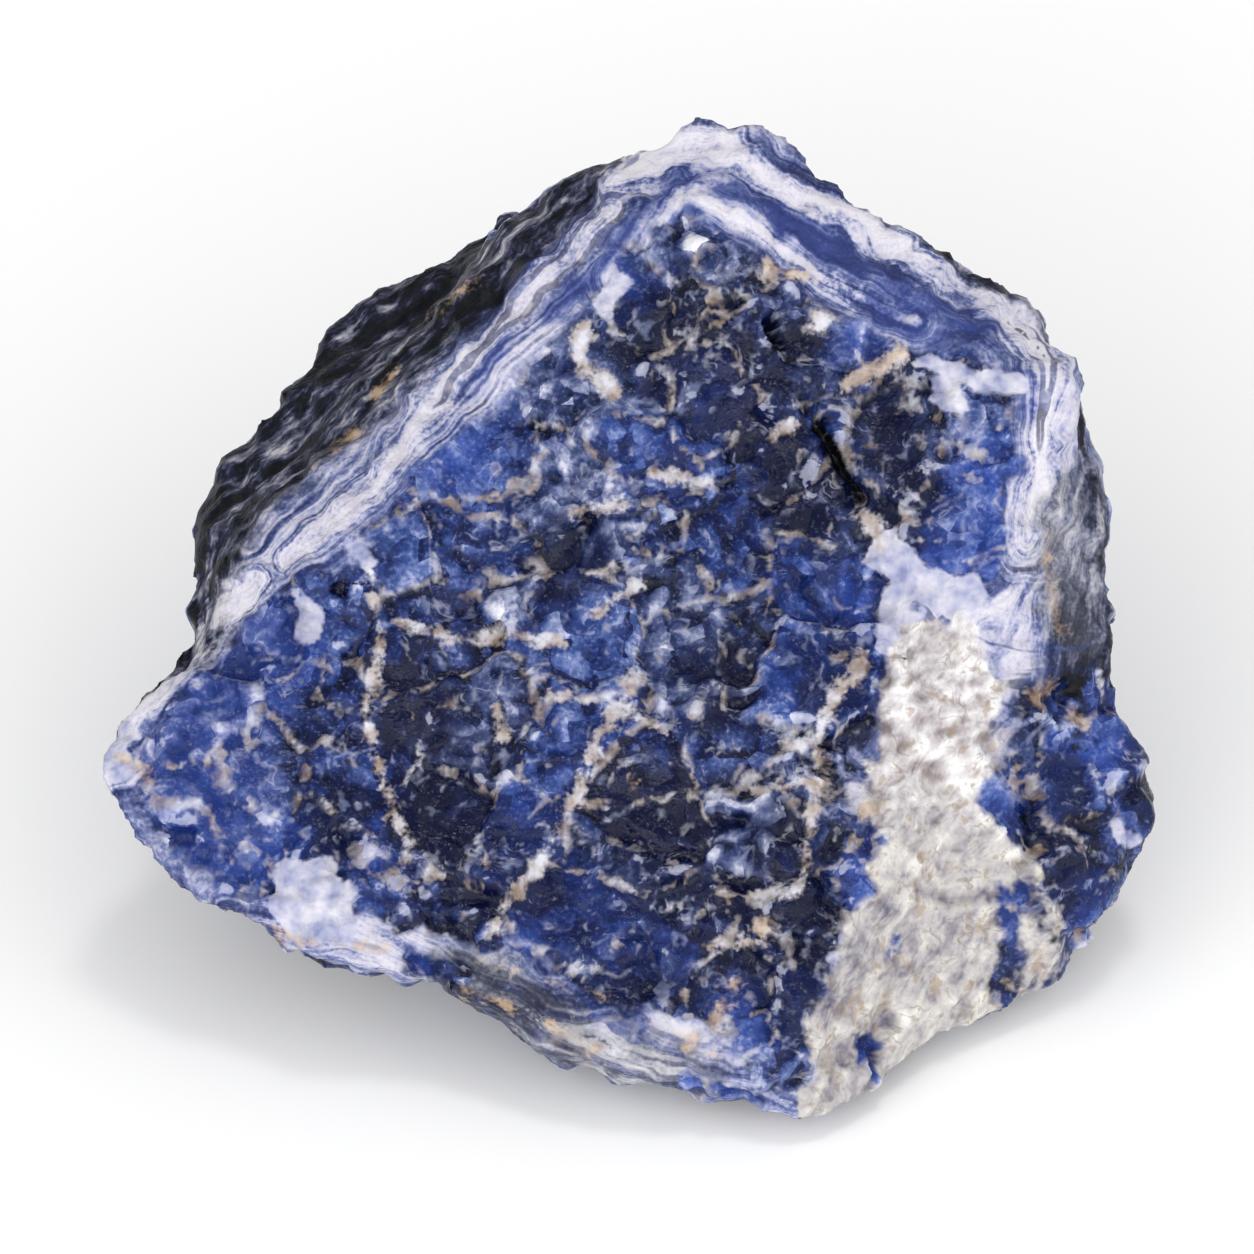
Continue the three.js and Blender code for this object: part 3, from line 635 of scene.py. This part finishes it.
# painted shade: the crack is painted near-black, as the shade deep inside it
colour = addNode(tree, "ShaderNodeMix", {"Factor": zone["crack"], "A": colour, "B": sodalite["crack"]},
                 data_type="RGBA")
tree.links.new(colour.outputs[2], shader.inputs["Base Color"])

# the blue grains are glassier than the calcite
gloss = addNode(tree, "ShaderNodeMapRange", {
    "Value": fray, "From Min": 0.35, "From Max": 0.65, "To Min": 0.18, "To Max": 0.36})
gloss = weighedSum(tree, gloss, [(zone["calcite"], 0.2), (zone["granular"], -0.2)])
gloss = addNode(tree, "ShaderNodeMath", {0: gloss, 1: 0.2})
tree.links.new(gloss.outputs[0], shader.inputs["Roughness"])
shader.inputs["IOR"].default_value = sodalite["ior"]
shader.inputs["Specular IOR Level"].default_value = sodalite["specular"]
bumpHeight = weighedSum(tree, 0, [(fleck, 0.06), (fields["crystals"], 0.25)])
bump = addNode(tree, "ShaderNodeBump", {"Height": bumpHeight, "Strength": 1.0, "Distance": mm})
tree.links.new(bump.outputs[0], shader.inputs["Normal"])
rough.data.materials.clear()
rough.data.materials.append(skin)
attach(rough, "root")
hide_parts(stone["node"])
print("stone finished")

studio = {
    "floor": "#f7f7f7", "floorRoughness": 0.9, "floorSize": 3,  # m
    "target": (-0.18, -0.51, 13.25),  # mm
    "elevation": 44,
    "distance": 600,  # mm
    "frameWidth": 61.6,  # mm across the picture at the target
    "sensor": 36,
    # a white tent. each row has a direction, the span over which the light changes towards it, and the
    # strengths before and after. the tent is darker above the camera, so that the broken faces keep their
    # depth, and brighter in front. a dark flag at the back left keeps the nearly black layers black
    "tent": [((0, -0.41, 0.91), 0.75, 0.96, 1.26, 0.3), ((0, -1, 0), -0.4, 0.8, 0.6, 1.8),
             ((-0.67, 0.66, 0.32), 0.78, 0.95, 1.0, 0.3)],
}

bpy.ops.object.select_all(action="DESELECT")
bpy.ops.mesh.primitive_plane_add(size=studio["floorSize"], location=(0, 0, 0))
floor = bpy.context.object
floor.name = "floor"
paper = bpy.data.materials.new("matteWhitePaper")
paper.use_nodes = True
paperShader = paper.node_tree.nodes["Principled BSDF"]
paperShader.inputs["Base Color"].default_value = linear(studio["floor"])
paperShader.inputs["Roughness"].default_value = studio["floorRoughness"]
floor.data.materials.append(paper)

world = bpy.data.worlds.new("studioWorld")
bpy.context.scene.world = world
world.use_nodes = True
sky = world.node_tree
skyLevel = 1.0
for way, start, end, before, after in studio["tent"]:
    toward = addNode(sky, "ShaderNodeVectorMath", {0: addNode(sky, "ShaderNodeTexCoord"), 1: way},
                     operation="DOT_PRODUCT")
    light = addNode(sky, "ShaderNodeMapRange", {
        "Value": toward, "From Min": start, "From Max": end, "To Min": before, "To Max": after})
    skyLevel = addNode(sky, "ShaderNodeMath", {0: skyLevel, 1: light}, operation="MULTIPLY")
sky.nodes["Background"].inputs["Color"].default_value = (1, 1, 1, 1)
sky.links.new(skyLevel.outputs[0], sky.nodes["Background"].inputs["Strength"])


def addSoftbox(name, place, size, power):
    data = bpy.data.lights.new(name, "AREA")
    data.shape = "DISK"
    data.size = size
    data.energy = power
    lamp = bpy.data.objects.new(name, data)
    bpy.context.scene.collection.objects.link(lamp)
    lamp.location = Vector(place)
    lamp.rotation_euler = (-Vector(place)).to_track_quat("-Z", "Y").to_euler()


addSoftbox("topLight", place=(0.12, 0.25, 0.94), size=0.2, power=1.2)
addSoftbox("frontFill", place=(-0.35, -0.88, 0.3), size=0.6, power=1.2)

cameraData = bpy.data.cameras.new("camera")
cameraData.sensor_width = studio["sensor"]
cameraData.lens = studio["sensor"] * studio["distance"] / studio["frameWidth"]
cameraData.clip_start, cameraData.clip_end = 0.01, 10
camera = bpy.data.objects.new("camera", cameraData)
bpy.context.scene.collection.objects.link(camera)
tilt = math.radians(studio["elevation"])
towardCamera = Vector((0, -math.cos(tilt), math.sin(tilt)))
camera.location = Vector(studio["target"]) * mm + towardCamera * studio["distance"] * mm
camera.rotation_euler = (-towardCamera).to_track_quat("-Z", "Y").to_euler()
bpy.context.scene.camera = camera
bpy.context.scene.view_settings.view_transform = "Standard"
